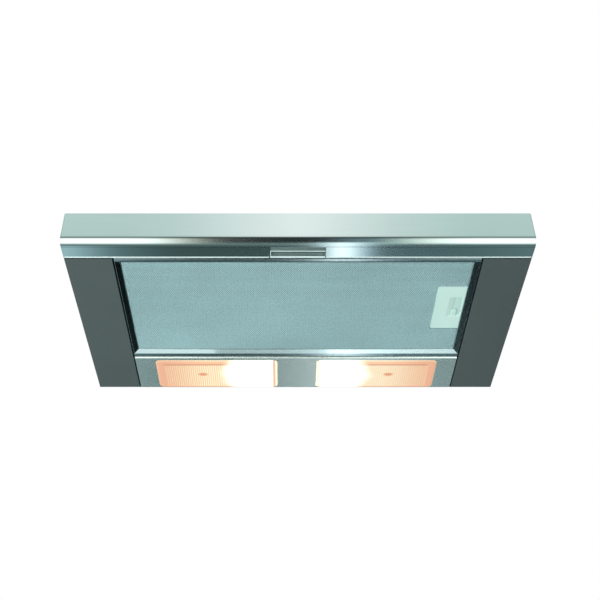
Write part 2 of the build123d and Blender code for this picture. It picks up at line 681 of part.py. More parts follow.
def main():
    os.makedirs("parts", exist_ok=True)
    chassis()
    lamp_panel()
    bulbs()
    housing()
    outlet()
    blower_drive()
    impeller()
    electrics()
    inner_filter()
    controls()
    fascia()
    finger_grip()
    drawer_frame()
    drawer_brackets()
    grease_filter()
    fasteners()
    for name, side in SIDES:
        side_panel(name, side)
        lamp(name, side)
        scroll(name, side)
        slide(name, side)
    flap("front", -1)
    flap("rear", 1)


main()
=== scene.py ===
"""Looks of the telescopic range hood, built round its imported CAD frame. Metres."""
import json
import math

import bmesh
import bpy
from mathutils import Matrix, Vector

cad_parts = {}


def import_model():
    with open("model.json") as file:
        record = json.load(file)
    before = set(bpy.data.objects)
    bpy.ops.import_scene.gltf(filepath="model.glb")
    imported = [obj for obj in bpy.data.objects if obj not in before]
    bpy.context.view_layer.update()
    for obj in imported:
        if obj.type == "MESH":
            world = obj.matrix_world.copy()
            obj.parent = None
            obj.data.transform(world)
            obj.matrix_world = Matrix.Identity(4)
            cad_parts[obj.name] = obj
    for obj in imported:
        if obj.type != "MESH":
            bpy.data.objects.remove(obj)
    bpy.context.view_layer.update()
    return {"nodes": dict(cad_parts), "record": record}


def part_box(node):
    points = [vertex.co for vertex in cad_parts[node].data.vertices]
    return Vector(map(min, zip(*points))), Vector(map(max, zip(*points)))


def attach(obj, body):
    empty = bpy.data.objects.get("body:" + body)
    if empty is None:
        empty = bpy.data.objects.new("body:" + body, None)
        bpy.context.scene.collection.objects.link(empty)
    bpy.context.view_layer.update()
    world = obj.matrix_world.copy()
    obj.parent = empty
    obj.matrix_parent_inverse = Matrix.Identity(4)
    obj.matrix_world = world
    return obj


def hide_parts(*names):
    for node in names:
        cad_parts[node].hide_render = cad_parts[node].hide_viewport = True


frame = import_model()

MM = 0.001


# ---- node helpers -------------------------------------------------------------------
class Nodes:
    """Short calls that add nodes to one material or world tree."""

    def __init__(self, tree):
        self.tree = tree

    def add(self, kind, **props):
        node = self.tree.nodes.new(kind)
        for key, value in props.items():
            setattr(node, key, value)
        return node

    def link(self, source, target):
        self.tree.links.new(source, target)

    def put(self, socket, value):
        if hasattr(value, "is_linked"):
            self.link(value, socket)
        else:
            socket.default_value = value

    def math(self, operation, a, b=0.0):
        node = self.add("ShaderNodeMath", operation=operation)
        self.put(node.inputs[0], a)
        self.put(node.inputs[1], b)
        return node.outputs[0]

    def smooth(self, value, low, high, out_low=0.0, out_high=1.0):
        """Smooth step of value from low to high."""
        node = self.add("ShaderNodeMapRange", interpolation_type="SMOOTHSTEP")
        self.put(node.inputs["Value"], value)
        self.put(node.inputs["From Min"], low)
        self.put(node.inputs["From Max"], high)
        self.put(node.inputs["To Min"], out_low)
        self.put(node.inputs["To Max"], out_high)
        return node.outputs["Result"]

    def mix(self, factor, a, b):
        """Colour a at factor 0, colour b at factor 1."""
        node = self.add("ShaderNodeMix", data_type="RGBA")
        self.put(node.inputs[0], factor)
        self.put(node.inputs[6], a)
        self.put(node.inputs[7], b)
        return node.outputs[2]

    def vector(self, operation, a, b):
        node = self.add("ShaderNodeVectorMath", operation=operation)
        self.put(node.inputs[0], a)
        self.put(node.inputs["Scale" if operation == "SCALE" else 1], b)
        return node.outputs[0]

    def scale(self, colour, factor):
        return self.vector("SCALE", colour, factor)

    def sum(self, a, b):
        return self.vector("ADD", a, b)

    def ramp(self, value, stops):
        """Colour ramp through (position, colour) stops."""
        node = self.add("ShaderNodeValToRGB")
        self.put(node.inputs[0], value)
        elements = node.color_ramp.elements
        while len(elements) < len(stops):
            elements.new(0.5)
        for element, (position, colour) in zip(elements, stops):
            element.position = position
            element.color = (*colour, 1.0)
        return node.outputs[0]

    def position(self, scale=(1, 1, 1), turn=0.0):
        """Place on the object in metres, scaled, and turned about Z."""
        coords = self.add("ShaderNodeTexCoord")
        mapping = self.add("ShaderNodeMapping")
        mapping.inputs["Scale"].default_value = scale
        mapping.inputs["Rotation"].default_value = (0, 0, turn)
        self.link(coords.outputs["Object"], mapping.inputs["Vector"])
        return mapping.outputs[0]

    def noise(self, scale, stretch=(1, 1, 1), detail=3.0):
        node = self.add("ShaderNodeTexNoise")
        node.inputs["Scale"].default_value = scale
        node.inputs["Detail"].default_value = detail
        self.link(self.position(stretch), node.inputs["Vector"])
        return node.outputs["Fac"]

    def bump(self, height, distance):
        node = self.add("ShaderNodeBump")
        node.inputs["Distance"].default_value = distance
        node.inputs["Strength"].default_value = 1.0
        self.put(node.inputs["Height"], height)
        return node.outputs[0]


def shade(colour, factor):
    """The colour made lighter or darker by a factor."""
    return tuple(min(1.0, c * factor) for c in colour)


def surface(name, colour, metallic=0.0, roughness=0.5, grain=None, variation=0.08, wear=0.05,
            bump=0.0, bump_scale=900.0, **constant):
    """A Principled material: noise drives its colour, roughness and fine relief.

    grain is (noise scale, stretch) for the streaks of brushed or rolled metal."""
    material = bpy.data.materials.new(name)
    material.use_nodes = True
    n = Nodes(material.node_tree)
    bsdf = material.node_tree.nodes["Principled BSDF"]
    bsdf.inputs["Metallic"].default_value = metallic
    for key, value in constant.items():
        bsdf.inputs[key.replace("_", " ")].default_value = value
    broad = n.noise(7.0, detail=2.0)
    if grain:
        scale, stretch = grain
        streak = n.noise(scale, stretch, detail=4.0)
    else:
        streak = n.noise(bump_scale, detail=2.0)
    blend = n.math("ADD", n.math("MULTIPLY", broad, 0.5), n.math("MULTIPLY", streak, 0.5))
    span = n.smooth(blend, 0.3, 0.7)
    tint = n.ramp(span, ((0.0, shade(colour, 1 - variation)), (1.0, shade(colour, 1 + variation))))
    n.link(tint, bsdf.inputs["Base Color"])
    rough = n.smooth(streak, 0.25, 0.75, max(0.02, roughness - wear), min(1.0, roughness + wear))
    n.link(rough, bsdf.inputs["Roughness"])
    if bump:
        n.link(n.bump(streak, bump), bsdf.inputs["Normal"])
    return material


ALONG_X = (0.012, 1.0, 1.0)


def spangled(name):
    """Galvanised sheet: crystal patches that differ in tone and gloss."""
    material = surface(name, (0.50, 0.53, 0.54), metallic=0.9, roughness=0.42, bump=0.00002,
                       bump_scale=500.0)
    n = Nodes(material.node_tree)
    bsdf = material.node_tree.nodes["Principled BSDF"]
    cells = n.add("ShaderNodeTexVoronoi", feature="F1")
    cells.inputs["Scale"].default_value = 130.0
    n.link(n.position(), cells.inputs["Vector"])
    tone = n.add("ShaderNodeSeparateColor")
    n.link(cells.outputs["Color"], tone.inputs[0])
    tint = n.ramp(tone.outputs[0], ((0.0, (0.47, 0.50, 0.51)), (1.0, (0.56, 0.59, 0.60))))
    n.link(tint, bsdf.inputs["Base Color"])
    n.link(n.smooth(tone.outputs[1], 0.0, 1.0, 0.36, 0.47), bsdf.inputs["Roughness"])
    return material


def mesh_metal(name, colour):
    """Expanded aluminium layers: crossed diagonal ridges over a dark ground of painted shade."""
    material = surface(name, colour, metallic=0.85, roughness=0.45)
    n = Nodes(material.node_tree)
    bsdf = material.node_tree.nodes["Principled BSDF"]
    ridges = []
    for turn in (math.radians(60), math.radians(-60)):
        wave = n.add("ShaderNodeTexWave", wave_type="BANDS", bands_direction="X")
        wave.inputs["Scale"].default_value = 75.0
        wave.inputs["Distortion"].default_value = 0.4
        n.link(n.position(turn=turn), wave.inputs["Vector"])
        ridges.append(wave.outputs["Fac"])
    top = n.math("MAXIMUM", ridges[0], ridges[1])
    # dark between the ridges: painted shade
    tint = n.ramp(top, ((0.35, shade(colour, 0.12)), (0.8, colour)))
    n.link(tint, bsdf.inputs["Base Color"])
    n.link(n.bump(top, 0.6 * MM), bsdf.inputs["Normal"])
    return material


LENS_PITCH = 3.2 * MM
LENS_TONES = {
    -1: ((0.48, 0.49, 0.33, 1), (0.40, 0.38, 0.24, 1), (0.40, 0.265, 0.155, 1),
         (0.33, 0.19, 0.10, 1)),
    1: ((0.49, 0.52, 0.38, 1), (0.42, 0.42, 0.30, 1), (0.42, 0.30, 0.19, 1),
        (0.36, 0.23, 0.135, 1)),
}                                   # painted light and shade of the crests and valleys, near the bulb, then far from it
LENS_SHIFT = {-1: -1.2 * MM, 1: 3.4 * MM}   # inner end outwards, from its CAD place
LENS_TRIM = {-1: 1.2 * MM, 1: 0.0}          # outer end inwards, from its CAD place
LENS_IN_W, LENS_OUT_W = 4.6 * MM, 11.5 * MM     # rim widths at the cover's ends
LENS_FRONT_W, LENS_REAR_W = 12.6 * MM, 3.0 * MM
HOT_END = (86 * MM, 119 * MM)       # along the cover: the white glow of the bulb fades out
FAR_END = (120 * MM, 205 * MM)      # from the tones near the bulb to those at the outer end
HOLDER_X = 139 * MM                 # where the lampholder's painted shadow falls on the cover
FRONT_SHADE_Y = 10.6 * MM                  # painted shade: a darker line inside the front rim, from its edge
FRONT_SHADE_END = (192 * MM, 198 * MM)      # where that line fades out along the cover
INNER_LINE = 4.8 * MM               # painted shade: an orange line, from the cover's inner end
INNER_LINE_DEPTH = {-1: 1.0, 1: 0.5}    # its strength on the left and right cover
# tones of painted shade on the covers: the inner end's line, the line inside the front rim, the
# lampholder's shadow
INNER_SHADE_TONE, FRONT_SHADE_TONE, HOLDER_SHADOW_TONE = ((0.27, 0.105, 0.05, 1), (0.24, 0.075, 0.03, 1),
                                (0.30, 0.09, 0.03, 1))


def lens_glow(name, side):
    """Lamp cover lit from behind: white-hot over the bulb, peach towards its outer end."""
    material = bpy.data.materials.new(name)
    material.use_nodes = True
    n = Nodes(material.node_tree)
    bsdf = material.node_tree.nodes["Principled BSDF"]
    bsdf.inputs["Roughness"].default_value = 0.22
    bsdf.inputs["Emission Strength"].default_value = 1.5
    place = n.add("ShaderNodeSeparateXYZ")
    n.link(n.position(), place.inputs[0])
    x = n.math("MULTIPLY", place.outputs[0], side)
    y, z = place.outputs[1], place.outputs[2]
    across = n.math("DIVIDE", n.math("SUBTRACT", y, LAMP_Y), 30 * MM)
    bulge = n.math("MULTIPLY", n.math("MULTIPLY", across, across), -9 * MM)
    wobble = n.math("MULTIPLY", n.math("SUBTRACT", n.noise(45.0), 0.5), 12 * MM)
    reach = n.smooth(n.math("SUBTRACT", x, n.math("ADD", bulge, wobble)), *HOT_END)
    far = n.smooth(x, *FAR_END)
    # ribbed field, with painted light and shade: light crests and warmer valleys
    crest = n.smooth(n.math("SINE", n.math("MULTIPLY", x, 2 * math.pi / LENS_PITCH)), -0.6, 0.8)
    near_light, near_warm, far_light, far_warm = LENS_TONES[side]
    light = n.mix(far, near_light, far_light)
    warm = n.mix(far, near_warm, far_warm)
    ribs = n.mix(crest, warm, light)
    # painted shadow of the lampholder: a warmer, darker spot on the glow
    spot_x = n.math("DIVIDE", n.math("SUBTRACT", x, HOLDER_X), 7 * MM)
    spot_y = n.math("DIVIDE", n.math("SUBTRACT", y, LAMP_Y + 1 * MM), 4 * MM)
    holder_shadow = n.math("ADD", n.math("MULTIPLY", spot_x, spot_x), n.math("MULTIPLY", spot_y, spot_y))
    ribs = n.mix(n.smooth(holder_shadow, 0.3, 1.6), HOLDER_SHADOW_TONE, ribs)
    # the rim hangs lower than the field, with a painted shade line along the front of the field
    rim_tone = n.mix(far, (0.46, 0.25, 0.14, 1), (0.35, 0.165, 0.10, 1))
    rim = n.smooth(z, UNDER - 1.25 * MM, UNDER - 0.75 * MM, 1.0, 0.0)
    # painted shade line where the front rim meets the field
    seam = n.smooth(n.math("ABSOLUTE", n.math("SUBTRACT", y, LENS_LO.y + FRONT_SHADE_Y)),
                    0.9 * MM, 1.8 * MM, 1.0, 0.0)
    seam = n.math("MULTIPLY", seam, n.smooth(x, *FRONT_SHADE_END, 1.0, 0.0))
    glow = n.mix(rim, ribs, rim_tone)
    glow = n.mix(seam, glow, FRONT_SHADE_TONE)
    hot = n.mix(rim, (1.0, 0.98, 0.90, 1), (1.0, 0.93, 0.74, 1))
    glow = n.mix(reach, hot, glow)
    # painted shade of the inner rim: an orange line along the inner end, cream beyond it
    inner = n.math("SUBTRACT", x, LENS_LO.x + LENS_SHIFT[side])
    glow = n.mix(n.smooth(inner, 2.6 * MM, 3.4 * MM), (0.62, 0.50, 0.32, 1), glow)
    line = n.smooth(n.math("ABSOLUTE", n.math("SUBTRACT", inner, INNER_LINE)),
                    1.1 * MM, 3.0 * MM, 1.0, 0.0)
    glow = n.mix(n.math("MULTIPLY", line, INNER_LINE_DEPTH[side]), glow, INNER_SHADE_TONE)
    n.link(glow, bsdf.inputs["Emission Color"])
    n.link(n.mix(reach, (0.40, 0.36, 0.30, 1), (0.30, 0.17, 0.12, 1)), bsdf.inputs["Base Color"])
    return material


# ---- sizes taken from the frame -----------------------------------------------------
FASCIA_LO, FASCIA_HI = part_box("fascia")
ENDS_LO, ENDS_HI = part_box("fascia_ends")
FRAME_LO, FRAME_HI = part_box("drawer_frame")
FACE_LO, FACE_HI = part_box("filter_face")
PLATE_LO, PLATE_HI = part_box("latch_plate")
LAMP_LO, LAMP_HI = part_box("lamp_panel")
LENS_LO, LENS_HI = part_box("lens_right")
LAMP_Y = (LENS_LO.y + LENS_HI.y) / 2
SHEET = 1.0 * MM
WINDOW_GAP = 1.8 * MM               # from the filter's face to the frame's window
WINDOW_HALF = FACE_HI.x + WINDOW_GAP
WINDOW_FRONT = FACE_LO.y - WINDOW_GAP
WINDOW_REAR = FACE_HI.y + WINDOW_GAP
UNDER = FASCIA_LO.z
FRONT = FASCIA_LO.y
LIP_REAR = FASCIA_HI.y
FASCIA_HALF = ENDS_HI.x - SHEET - 0.15 * MM     # the bent sheet, between the end caps
RIM_FRONT, RIM_REAR = FRONT + 37.8 * MM, FRONT + 243.5 * MM


# ---- materials ----------------------------------------------------------------------
STEEL = (0.62, 0.70, 0.69)
M = {
    "brushed_steel": surface("brushed_steel", STEEL, 1.0, 0.10, grain=(1500.0, ALONG_X),
                             variation=0.025, wear=0.01, bump=0.0000002),
    "filter_steel": surface("filter_steel", (0.60, 0.69, 0.70), 1.0, 0.16, variation=0.03,
                            wear=0.03, bump=0.0000008, bump_scale=400.0),
    "lamp_steel": surface("lamp_steel", (0.88, 0.93, 0.88), 0.955, 0.27, variation=0.012,
                          wear=0.01),
    "dark_paint": surface("dark_paint", (0.060, 0.074, 0.074), 0.0, 0.42, variation=0.06,
                          bump=0.00002, bump_scale=1400.0),
    "galvanised": spangled("galvanised"),
    "aluminium_mesh": mesh_metal("aluminium_mesh", (0.26, 0.36, 0.37)),
    "filter_aluminium": surface("filter_aluminium", (0.58, 0.66, 0.66), 0.9, 0.35,
                                grain=(900.0, ALONG_X), variation=0.05),
    "reflector": surface("reflector", (0.85, 0.84, 0.80), 1.0, 0.15, variation=0.03),
    "pale_plastic": surface("pale_plastic", (0.50, 0.66, 0.605), 0.0, 0.38, variation=0.02,
                            bump=0.00001, Subsurface_Weight=0.1),
    "black_plastic": surface("black_plastic", (0.022, 0.023, 0.024), 0.0, 0.48, variation=0.1,
                             bump=0.00004, bump_scale=1800.0),
    "grey_plastic": surface("grey_plastic", (0.20, 0.21, 0.22), 0.0, 0.42, variation=0.06,
                            bump=0.00003, bump_scale=1600.0),
    "motor_steel": surface("motor_steel", (0.40, 0.41, 0.42), 1.0, 0.30, grain=(600.0, ALONG_X),
                           variation=0.08, bump=0.00001),
    "rail_steel": surface("rail_steel", (0.58, 0.60, 0.62), 1.0, 0.26, variation=0.08,
                          bump=0.00001, bump_scale=300.0),
    "cage_plastic": surface("cage_plastic", (0.66, 0.65, 0.58), 0.0, 0.45, variation=0.04,
                            bump=0.00002),
    "rubber": surface("rubber", (0.018, 0.018, 0.018), 0.0, 0.75, variation=0.15, bump=0.00005),
    "ceramic": surface("ceramic", (0.78, 0.76, 0.70), 0.0, 0.18, variation=0.03, bump=0.00001),
    "bulb_metal": surface("bulb_metal", (0.62, 0.55, 0.40), 1.0, 0.25, variation=0.08),
    "bulb_glass": surface("bulb_glass", (1.0, 0.93, 0.82), 0.0, 0.30, variation=0.02,
                          Emission_Color=(1.0, 0.82, 0.58, 1.0), Emission_Strength=6.0),
    "screw_steel": surface("screw_steel", (0.55, 0.56, 0.57), 1.0, 0.25, variation=0.1,
                           bump=0.00001),
    # for the finer pieces only
    # painted shade: a darker copy of the pale plastic, for the deep part of the latch's well
    "latch_recess": surface("latch_recess", (0.43, 0.575, 0.525), 0.0, 0.42, variation=0.03,
                            bump=0.00001),
    # painted highlight: a paler, less metallic copy of the brushed steel, for the bright beads
    "hem": surface("hem", (0.86, 0.98, 0.98), 0.45, 0.34, grain=(1200.0, ALONG_X),
                   variation=0.04),
    # painted shade: a darker copy of the brushed steel, for the pressed pull's recess
    "grip": surface("grip", (0.27, 0.35, 0.345), 0.8, 0.30, grain=(1200.0, ALONG_X),
                    variation=0.04),
    "perforated": surface("perforated", (0.585, 0.825, 0.85), 0.62, 0.36, variation=0.12,
                          bump=0.00003, bump_scale=260.0),
}
for row in frame["record"]["subparts"]:
    node = frame["nodes"][row["node"]]
    if row["material_slot"] in M:
        node.data.materials.clear()
        node.data.materials.append(M[row["material_slot"]])


# ---- mesh helpers -------------------------------------------------------------------
def piece(name, verts, faces, material, body, slot, replaces=()):
    """A mesh piece, in the part's frame at rest, that rides on a body."""
    mesh = bpy.data.meshes.new(name)
    mesh.from_pydata([tuple(v) for v in verts], [], faces)
    mesh.validate()
    mesh.update()
    mesh.polygons.foreach_set("use_smooth", [True] * len(mesh.polygons))
    obj = bpy.data.objects.new(name, mesh)
    bpy.context.collection.objects.link(obj)
    mesh.materials.append(material)
    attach(obj, body)
    if replaces:
        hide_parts(*replaces)
    return obj


def keep_flat(obj):
    """Flat faces stay flat in the shading beside round ones."""
    flat = obj.modifiers.new("flat", "WEIGHTED_NORMAL")
    flat.keep_sharp = True


def soften(obj, width):
    """Small rounded edges."""
    bevel = obj.modifiers.new("edge", "BEVEL")
    bevel.width = width
    bevel.segments = 2
    bevel.limit_method = "ANGLE"
    bevel.angle_limit = math.radians(25)
    keep_flat(obj)


def mark_sharp(obj, degrees):
    """Edges steeper than this stay hard, and every face looks outwards."""
    bm = bmesh.new()
    bm.from_mesh(obj.data)
    bmesh.ops.remove_doubles(bm, verts=bm.verts, dist=1e-6)
    bmesh.ops.recalc_face_normals(bm, faces=bm.faces)
    limit = math.radians(degrees)
    for edge in bm.edges:
        if len(edge.link_faces) == 2:
            edge.smooth = edge.calc_face_angle(0.0) < limit
    bm.to_mesh(obj.data)
    bm.free()


def crisp(obj, degrees):
    """Hard edges above an angle, and flat faces that stay flat."""
    mark_sharp(obj, degrees)
    keep_flat(obj)


def arc(y, z, radius, start, end, steps):
    """Points of an arc in the Y-Z plane, angles in degrees from +Y towards +Z."""
    points = []
    for step in range(steps + 1):
        angle = math.radians(start + (end - start) * step / steps)
        points.append((y + radius * math.cos(angle), z + radius * math.sin(angle)))
    return points


def offset_path(path, gap):
    """The path moved sideways by gap, for the other face of a sheet."""
    moved = []
    for i, (y, z) in enumerate(path):
        y0, z0 = path[max(i - 1, 0)]
        y1, z1 = path[min(i + 1, len(path) - 1)]
        length = math.hypot(y1 - y0, z1 - z0)
        moved.append((y - (z1 - z0) / length * gap, z + (y1 - y0) / length * gap))
    return moved


def bent_plate(path, cuts, thickness, hole=lambda i, c: False):
    """Verts and faces of a bent sheet: a Y-Z path carried through the X values in cuts.

    hole(i, c) leaves out path step i between cuts c and c + 1."""
    inside = offset_path(path, thickness)
    count = len(path)
    verts = [(x, y, z) for line in (path, inside) for x in cuts for y, z in line]
    back = count * len(cuts)
    present = {(i, c) for i in range(count - 1) for c in range(len(cuts) - 1) if not hole(i, c)}
    faces = []

    def wall(i0, c0, i1, c1):
        a, b = c0 * count + i0, c1 * count + i1
        faces.append((a, b, b + back, a + back))

    for i, c in sorted(present):
        a, b = c * count + i, (c + 1) * count + i
        faces.append((a, b, b + 1, a + 1))
        faces.append((a + back + 1, b + back + 1, b + back, a + back))
        if (i - 1, c) not in present:
            wall(i, c + 1, i, c)
        if (i + 1, c) not in present:
            wall(i + 1, c, i + 1, c + 1)
        if (i, c - 1) not in present:
            wall(i, c, i + 1, c)
        if (i, c + 1) not in present:
            wall(i + 1, c + 1, i, c + 1)
    return verts, faces


# ---- fascia -------------------------------------------------------------------------
ROLL_R = 10.5 * MM
GRIP_LO, GRIP_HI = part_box("finger_grip")
GRIP_GAP = 0.3 * MM


def fascia():
    """One sheet from end to end, with the grip's cut-out in its lip.

    Its outside runs from the top return down the front and round to the lip's rear edge."""
    top_r, hem_r = 0.6 * MM, 1.2 * MM
    path = [(FRONT + 16 * MM, 0.0)]
    path += arc(FRONT + top_r, -top_r, top_r, 90, 180, 4)
    path += arc(FRONT + ROLL_R, UNDER + ROLL_R, ROLL_R, 180, 270, 20)
    first_cut = len(path) - 1           # the roll's last point
    path += [(GRIP_LO.y - GRIP_GAP, UNDER), (LIP_REAR - 1.5 * MM, UNDER)]
    path += arc(LIP_REAR - hem_r, UNDER + hem_r, hem_r, 270, 360, 5)
    path += [(LIP_REAR, UNDER + 6 * MM)]
    cuts = (-FASCIA_HALF, GRIP_LO.x - GRIP_GAP, GRIP_HI.x + GRIP_GAP, FASCIA_HALF)
    verts, faces = bent_plate(path, cuts, SHEET, lambda i, c: c == 1 and i >= first_cut)
    obj = piece("fascia_sheet", verts, faces, M["brushed_steel"], "drawer", "brushed_steel",
                ["fascia"])
    crisp(obj, 40)


def beads(name, spans, y, z, radius, along="x"):
    """Solid half-round beads, flat on top: along X at y, or with X and Y exchanged; their paler
    steel is a painted highlight.
    """
    outline = arc(y, z, radius, 180, 360, 12)
    outline += [(y + radius * 0.6, z + radius), (y - radius * 0.6, z + radius)]
    count = len(outline)
    verts, faces = [], []
    for x0, x1 in spans:
        base = len(verts)
        ends = [(x, py, pz) for x in (x0, x1) for py, pz in outline]
        verts += ends if along == "x" else [(b, a, c) for a, b, c in ends]
        for i in range(count):
            j = (i + 1) % count
            faces.append((base + i, base + j, base + count + j, base + count + i))
        faces.append(tuple(base + i for i in range(count)))
        faces.append(tuple(base + count + i for i in range(count))[::-1])
    crisp(piece(name, verts, faces, M["hem"], "drawer", "brushed_steel"), 60)


def hem():
    """Rolled seam near the lip's rear edge, cut where the grip meets the lip."""
    r = 1.3 * MM
    gap = 0.9 * MM
    notch = GRIP_HI.x + 0.6 * MM
    spans = ((-FASCIA_HALF, -notch - gap), (-notch + gap, notch - gap),
             (notch + gap, FASCIA_HALF))
    beads("lip_hem", spans, LIP_REAR - 1.6 * MM, UNDER + r - 0.5 * MM, r)


# ---- grease filter ------------------------------------------------------------------
PITCH = 2.6 * MM
HOLE_R = 0.86 * MM
PERF_T = 0.45 * MM
PERF_EDGE = 0.9 * MM                # the sheet reaches past the CAD face, to the frame


def perforated(name, x0, x1):
    """Part of the filter's face: staggered holes, with their walls, centred from x0 to x1."""
    row_step = PITCH * math.sqrt(3) / 2
    cell_r = PITCH / math.sqrt(3)
    z = FACE_LO.z - 0.05 * MM
    left, right = FACE_LO.x - PERF_EDGE, FACE_HI.x + PERF_EDGE
    y0, y1 = FACE_LO.y - PERF_EDGE, FACE_HI.y + PERF_EDGE
    rows = int((y1 - y0) / row_step)
    columns = int((right - left) / PITCH)
    row_step = (y1 - y0) / rows
    margin = 1.0 * MM                   # how far the holes run in under the latch plate
    verts, faces, seen = [], [], {}

    def vertex(x, y, height):
        x = min(max(x, left), right)
        y = min(max(y, y0), y1)
        key = (round(x * 1e6), round(y * 1e6), height)
        if key not in seen:
            seen[key] = len(verts)
            verts.append((x, y, z + height * PERF_T))
        return seen[key]

    for row in range(rows):
        cy = y0 + (row + 0.5) * row_step
        for column in range(columns):
            cx = left + (column + 0.25 + 0.5 * (row % 2)) * PITCH
            if not x0 <= cx < x1:
                continue
            if cx > PLATE_LO.x + margin and PLATE_LO.y + margin < cy < PLATE_HI.y - margin:
                continue
            outer, rim, back = [], [], []
            for k in range(6):
                angle = math.radians(30 + 60 * k)
                c, s = math.cos(angle), math.sin(angle)
                outer.append(vertex(cx + cell_r * c, cy + cell_r * s, 0))
                rim.append(vertex(cx + HOLE_R * c, cy + HOLE_R * s, 0))
                back.append(vertex(cx + HOLE_R * c, cy + HOLE_R * s, 1))
            for k in range(6):
                j = (k + 1) % 6
                faces.append((outer[j], outer[k], rim[k], rim[j]))
                faces.append((rim[j], rim[k], back[k], back[j]))
    return piece(name, verts, faces, M["perforated"], "filter", "aluminium_mesh")


def filter_face():
    """The perforated face in two halves, which keeps each below the limit of faces."""
    left = perforated("filter_face_left", -math.inf, 0.0)
    perforated("filter_face_right", 0.0, math.inf)
    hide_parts("filter_face")


# ---- lamp covers --------------------------------------------------------------------
def rounded_loop(x0, x1, y0, y1, radius, z, steps=6):
    """Closed loop of a rounded rectangle, corner by corner."""
    loop = []
    corners = ((x1, y1, -1, -1, 0), (x0, y1, 1, -1, 90), (x0, y0, 1, 1, 180), (x1, y0, -1, 1, 270))
    for cx, cy, sx, sy, start in corners:
        for step in range(steps + 1):
            angle = math.radians(start + 90 * step / steps)
            loop.append((cx + sx * radius + radius * math.cos(angle),
                         cy + sy * radius + radius * math.sin(angle), z))
    return loop


def skin(loops, close=False, cap=False):
    """Verts and faces of a list of equal loops joined one to the next."""
    count = len(loops[0])
    verts = [v for loop in loops for v in loop]
    faces = []
    last = len(loops) if close else len(loops) - 1
    for r in range(last):
        q = (r + 1) % len(loops)
        for i in range(count):
            j = (i + 1) % count
            faces.append((r * count + i, r * count + j, q * count + j, q * count + i))
    if cap:
        faces.append(tuple((len(loops) - 1) * count + i for i in range(count)))
    return verts, faces


def lens(name, side):
    """Cover with a raised rim, wider at the front and outer end, round a ribbed field."""
    lo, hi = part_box(f"lens_{name}")
    inner, outer = (lo.x, hi.x) if side > 0 else (hi.x, lo.x)
    inner += side * LENS_SHIFT[side]
    outer -= side * LENS_TRIM[side]
    # share of the rim's width, drop below the panel and corner radius in mm
    steps = ((0, 0.0, 6), (0.05, -0.7, 6), (0.2, -1.2, 5.5), (0.92, -1.2, 2.5), (1, -0.45, 2.0))
    loops = []
    for share, drop, radius in steps:
        ends = sorted((inner + side * LENS_IN_W * share, outer - side * LENS_OUT_W * share))
        loops.append(rounded_loop(*ends, lo.y + LENS_FRONT_W * share, hi.y - LENS_REAR_W * share,
                                  radius * MM, UNDER + drop * MM))
    verts, faces = skin(loops)
    # the ribbed field, as a strip of narrow faces from front to rear
    x0, x1 = sorted((inner + side * LENS_IN_W, outer - side * LENS_OUT_W))
    y0, y1 = lo.y + LENS_FRONT_W, hi.y - LENS_REAR_W
    low = UNDER - 0.45 * MM
    base = len(verts)
    samples = 6
    first = math.ceil(x0 / LENS_PITCH * samples)
    last = math.floor(x1 / LENS_PITCH * samples)
    for i in range(first, last + 1):
        crest = 0.5 + 0.5 * math.sin(2 * math.pi * i / samples)
        for y in (y0, y1):
            verts.append((i * LENS_PITCH / samples, y, low - 0.65 * MM * crest))
    for i in range(last - first):
        a = base + 2 * i
        faces.append((a, a + 1, a + 3, a + 2))
    back = rounded_loop(*sorted((inner, outer)), lo.y, hi.y, 6 * MM, UNDER)
    base = len(verts)
    verts += back
    faces.append(tuple(base + i for i in range(len(back))))
    obj = piece(f"lamp_cover_{name}", verts, faces, lens_glow(f"lens_glow_{name}", side),
                f"{name}_lens", "lens_plastic", [f"lens_{name}"])
    mark_sharp(obj, 50)


# ---- drawer frame and lamp panel ----------------------------------------------------
def turned(x0, x1, y0, y1, radius, z, outward):
    """One loop of the pressed frame, moved outwards by outward."""
    return rounded_loop(x0 - outward, x1 + outward, y0 - outward, y1 + outward, radius, z, 3)


def drawer_pressing():
    """Pressed frame: upright walls, rounded outer fold, bevels and the folded window edge."""
    window = (-WINDOW_HALF, WINDOW_HALF, WINDOW_FRONT, WINDOW_REAR)
    rim = (FRAME_LO.x, FRAME_HI.x, FRAME_LO.y, FRAME_HI.y)
    bevel = (FRAME_LO.x + 0.8 * MM, FRAME_HI.x - 0.8 * MM, RIM_FRONT, RIM_REAR)
    top, window_z, fold = FRAME_HI.z, FACE_LO.z, 0.6 * MM
    rows = [turned(*rim, fold, top, 0), turned(*rim, fold, UNDER + fold, 0)]
    for step in range(1, 7):
        a = math.radians(15 * step)
        rows.append(turned(*rim, fold, UNDER + fold * (1 - math.sin(a)),
                           -fold * (1 - math.cos(a))))
    rows.append(turned(*bevel, 0.4 * MM, UNDER, 0))
    rows.append(turned(*window, 0.6 * MM, window_z - 0.1 * MM, 0.3 * MM))
    rows.append(turned(*window, 0.6 * MM, window_z + 0.3 * MM, 0))
    rows.append(turned(*window, 0.6 * MM, window_z + 2.0 * MM, 0))
    rows.append(turned(*window, 1.2 * MM, window_z + 2.0 * MM, 0.9 * MM))
    rows.append(turned(*window, 1.2 * MM, window_z + 1.0 * MM, 1.2 * MM))
    rows.append(turned(*bevel, 1.2 * MM, UNDER + 1.0 * MM, 0))
    rows.append(turned(*rim, 1.2 * MM, UNDER + 1.2 * MM, -1.4 * MM))
    rows.append(turned(*rim, 1.2 * MM, UNDER + 2.0 * MM, -1.0 * MM))
    rows.append(turned(*rim, 1.2 * MM, top, -1.0 * MM))
    verts, faces = skin(rows, close=True)
    obj = piece("drawer_pressing", verts, faces, M["filter_steel"], "drawer", "filter_steel",
                ["drawer_frame"])
    crisp(obj, 20)


